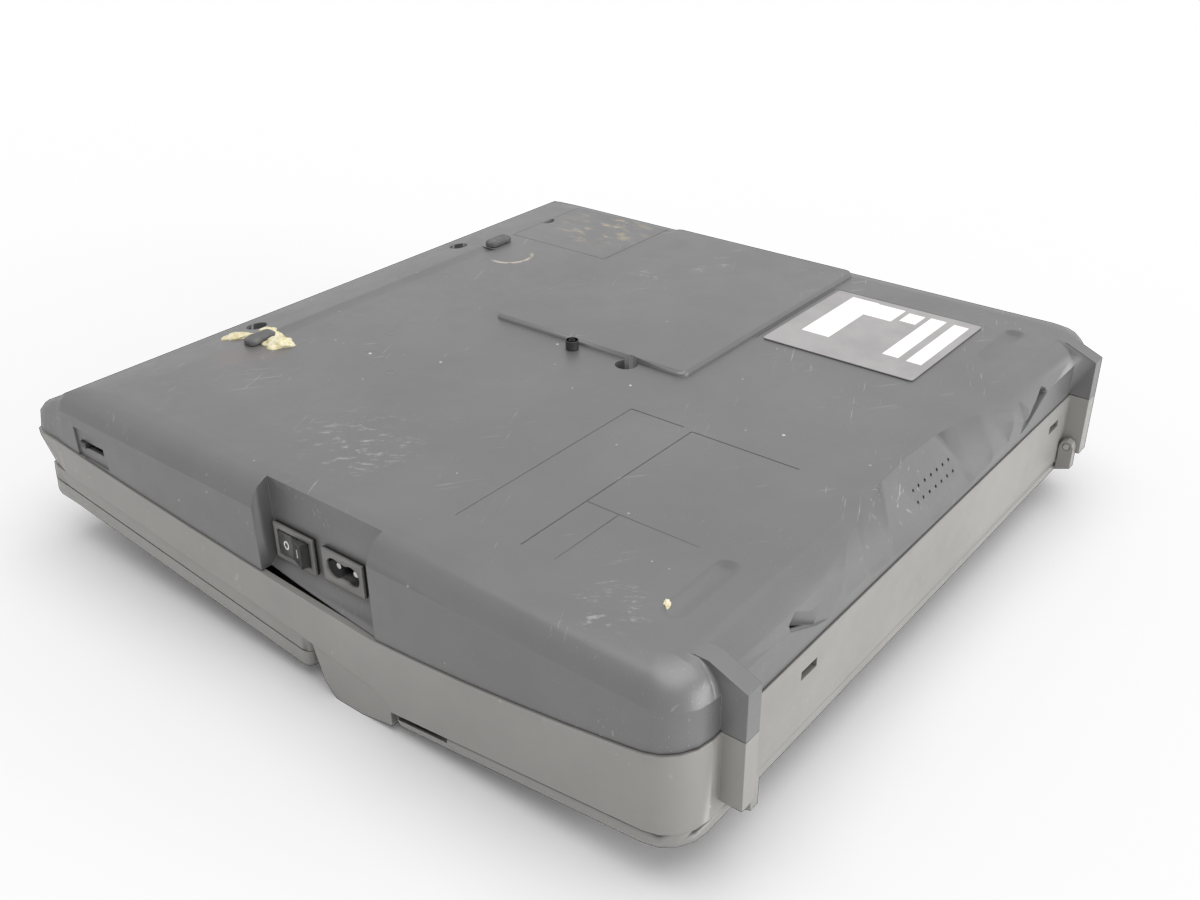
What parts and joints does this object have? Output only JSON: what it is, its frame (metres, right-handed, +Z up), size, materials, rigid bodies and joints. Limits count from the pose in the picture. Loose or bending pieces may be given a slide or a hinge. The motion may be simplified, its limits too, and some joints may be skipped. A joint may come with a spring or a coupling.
{
  "type": "electronic word processor",
  "caption": "Portable electronic word processor with a hinged screen lid, keyboard, disk drive and built-in printer, lying upside down on its closed lid.",
  "frame": {"origin": "under the middle of the whole machine, at the level of its lowest point, which is the hinge hump that it lies on", "axes": "+Z up out of the underside as it lies in the picture, -Y towards the front edge where the lid opens, +Y towards the printer end, +X towards the side with the power switch and the mains inlet"},
  "size_m": [0.31, 0.337, 0.0816],
  "materials": {
    "dark_case": "fine-textured charcoal moulding",
    "light_case": "fine-textured light grey moulding",
    "black_plastic": "satin black moulding",
    "switch_plastic": "glossy black",
    "foot_rubber": "matt rubber",
    "roller_rubber": "ground rubber",
    "steel": "bright turned steel",
    "sheet_metal": "zinc-plated sheet",
    "drive_metal": "dull cast and pressed metal",
    "brass": "machined",
    "circuit_board": "solder-resist green",
    "key_plastic": "fine-textured grey caps",
    "screen_glass": "grey-green screen behind a clear front",
    "plate_film": "bare silvery film",
    "cell_wrap": "shrink wrap",
    "gear_plastic": "natural acetal",
    "ribbon_cable": "flat grey ribbon"
  },
  "bodies": {
    "case": {"bottom_case": "dark_case", "top_case": "light_case", "hinge_cover_right": "light_case", "hinge_cover_left": "light_case", "hinge_pin_right": "steel", "hinge_pin_left": "steel", "cover_pin_right": "steel", "cover_pin_left": "steel", "front_foot_right": "foot_rubber", "front_foot_left": "foot_rubber", "centre_foot": "black_plastic", "label_plate": "plate_film", "case_screw_1": "steel", "case_screw_2": "steel", "case_screw_3": "steel", "switch_body": "black_plastic", "inlet_socket": "black_plastic", "inlet_pin_right": "steel", "inlet_pin_left": "steel", "backup_pack": "cell_wrap", "disk_drive": "drive_metal", "drive_bezel": "light_case", "main_board": "circuit_board", "power_board": "circuit_board", "transformer": "sheet_metal", "speaker": "black_plastic", "keyboard_plate": "sheet_metal", "keyboard_cable": "ribbon_cable", "printer_chassis": "sheet_metal", "feed_motor": "sheet_metal", "carriage_motor": "sheet_metal", "carriage_belt": "roller_rubber", "guide_shaft": "steel"},
    "lid": {"lid_back": "light_case", "lid_bezel": "light_case", "lcd_panel": "screen_glass", "lcd_frame": "sheet_metal"},
    "latch": {"lid_latch": "black_plastic"},
    "cover": {"printer_cover": "light_case"},
    "battery_door": {"battery_door": "dark_case"},
    "rocker": {"switch_rocker": "switch_plastic"},
    "contrast": {"contrast_knob": "black_plastic"},
    "flap": {"drive_flap": "light_case"},
    "eject": {"eject_button": "light_case"},
    "platen": {"platen_shaft": "steel", "platen_roller": "roller_rubber", "platen_gear": "gear_plastic"},
    "pinion": {"feed_pinion": "brass"},
    "carriage": {"carriage": "black_plastic", "print_head": "drive_metal"},
    "cassette": {"ribbon_cassette": "black_plastic"},
    "drive_pulley": {"drive_pulley": "gear_plastic"},
    "idler_pulley": {"idler_pulley": "gear_plastic"},
    "space_row": {"keys_space": "key_plastic"},
    "lower_row": {"keys_lower": "key_plastic"},
    "home_row": {"keys_home": "key_plastic"},
    "upper_row": {"keys_upper": "key_plastic"},
    "number_row": {"keys_numbers": "key_plastic"},
    "function_row": {"keys_function": "key_plastic"}
  },
  "joints": [
    {"name": "lid_hinge", "type": "hinge", "parent": "case", "child": "lid", "pos_m": [0, 0.02, 0.0093], "axis": [1, 0, 0], "range_deg": [0, 130]},
    {"name": "lid_catch", "type": "slide", "parent": "lid", "child": "latch", "axis": [1, 0, 0], "range_m": [0, 0.003], "stiffness_N_per_m": 200, "springref_m": -0.002},
    {"name": "cover_hinge", "type": "hinge", "parent": "case", "child": "cover", "pos_m": [0, 0.164, 0.032], "axis": [1, 0, 0], "range_deg": [0, 95]},
    {"name": "battery_door_lift", "type": "slide", "parent": "case", "child": "battery_door", "axis": [0, 0, 1], "range_m": [0, 0.02]},
    {"name": "power_switch", "type": "hinge", "parent": "case", "child": "rocker", "pos_m": [0.1449, -0.0117, 0.0525], "axis": [0, 0, 1], "range_deg": [0, 18]},
    {"name": "contrast_slide", "type": "slide", "parent": "case", "child": "contrast", "axis": [0, 1, 0], "range_m": [0, 0.009]},
    {"name": "dust_flap", "type": "hinge", "parent": "case", "child": "flap", "pos_m": [-0.1529, -0.0033, 0.0606], "axis": [0, 1, 0], "range_deg": [0, 80], "stiffness_Nm_per_rad": 0.0005, "springref_deg": -11.46},
    {"name": "disk_eject", "type": "slide", "parent": "case", "child": "eject", "axis": [1, 0, 0], "range_m": [0, 0.004], "stiffness_N_per_m": 300, "springref_m": -0.002},
    {"name": "platen_turn", "type": "hinge", "parent": "case", "child": "platen", "pos_m": [0, 0.118, 0.044], "axis": [1, 0, 0], "continuous": true},
    {"name": "pinion_turn", "type": "hinge", "parent": "case", "child": "pinion", "pos_m": [0.1315, 0.10302, 0.05265], "axis": [1, 0, 0], "continuous": true},
    {"name": "carriage_slide", "type": "slide", "parent": "case", "child": "carriage", "axis": [1, 0, 0], "range_m": [-0.088, 0.088]},
    {"name": "cassette_release", "type": "slide", "parent": "carriage", "child": "cassette", "axis": [0, 0, -1], "range_m": [0, 0.006]},
    {"name": "drive_pulley_turn", "type": "hinge", "parent": "case", "child": "drive_pulley", "pos_m": [-0.115, 0.0655, 0.045], "axis": [0, 0, 1], "continuous": true},
    {"name": "idler_pulley_turn", "type": "hinge", "parent": "case", "child": "idler_pulley", "pos_m": [0.115, 0.0655, 0.045], "axis": [0, 0, 1], "continuous": true},
    {"name": "space_row_press", "type": "slide", "parent": "case", "child": "space_row", "axis": [0, 0.1057, 0.9944], "range_m": [0, 0.003], "stiffness_N_per_m": 300, "springref_m": -0.001},
    {"name": "lower_row_press", "type": "slide", "parent": "case", "child": "lower_row", "axis": [0, 0.1057, 0.9944], "range_m": [0, 0.003], "stiffness_N_per_m": 300, "springref_m": -0.001},
    {"name": "home_row_press", "type": "slide", "parent": "case", "child": "home_row", "axis": [0, 0.1057, 0.9944], "range_m": [0, 0.003], "stiffness_N_per_m": 300, "springref_m": -0.001},
    {"name": "upper_row_press", "type": "slide", "parent": "case", "child": "upper_row", "axis": [0, 0.1057, 0.9944], "range_m": [0, 0.003], "stiffness_N_per_m": 300, "springref_m": -0.001},
    {"name": "number_row_press", "type": "slide", "parent": "case", "child": "number_row", "axis": [0, 0.1057, 0.9944], "range_m": [0, 0.003], "stiffness_N_per_m": 300, "springref_m": -0.001},
    {"name": "function_row_press", "type": "slide", "parent": "case", "child": "function_row", "axis": [0, 0.1057, 0.9944], "range_m": [0, 0.003], "stiffness_N_per_m": 300, "springref_m": -0.001}
  ],
  "couplings": [
    {"joint": "pinion_turn", "follows": "platen_turn", "ratio": -2.4},
    {"joint": "drive_pulley_turn", "follows": "carriage_slide", "rad_per_m": -172.41},
    {"joint": "idler_pulley_turn", "follows": "carriage_slide", "rad_per_m": -172.41}
  ]
}
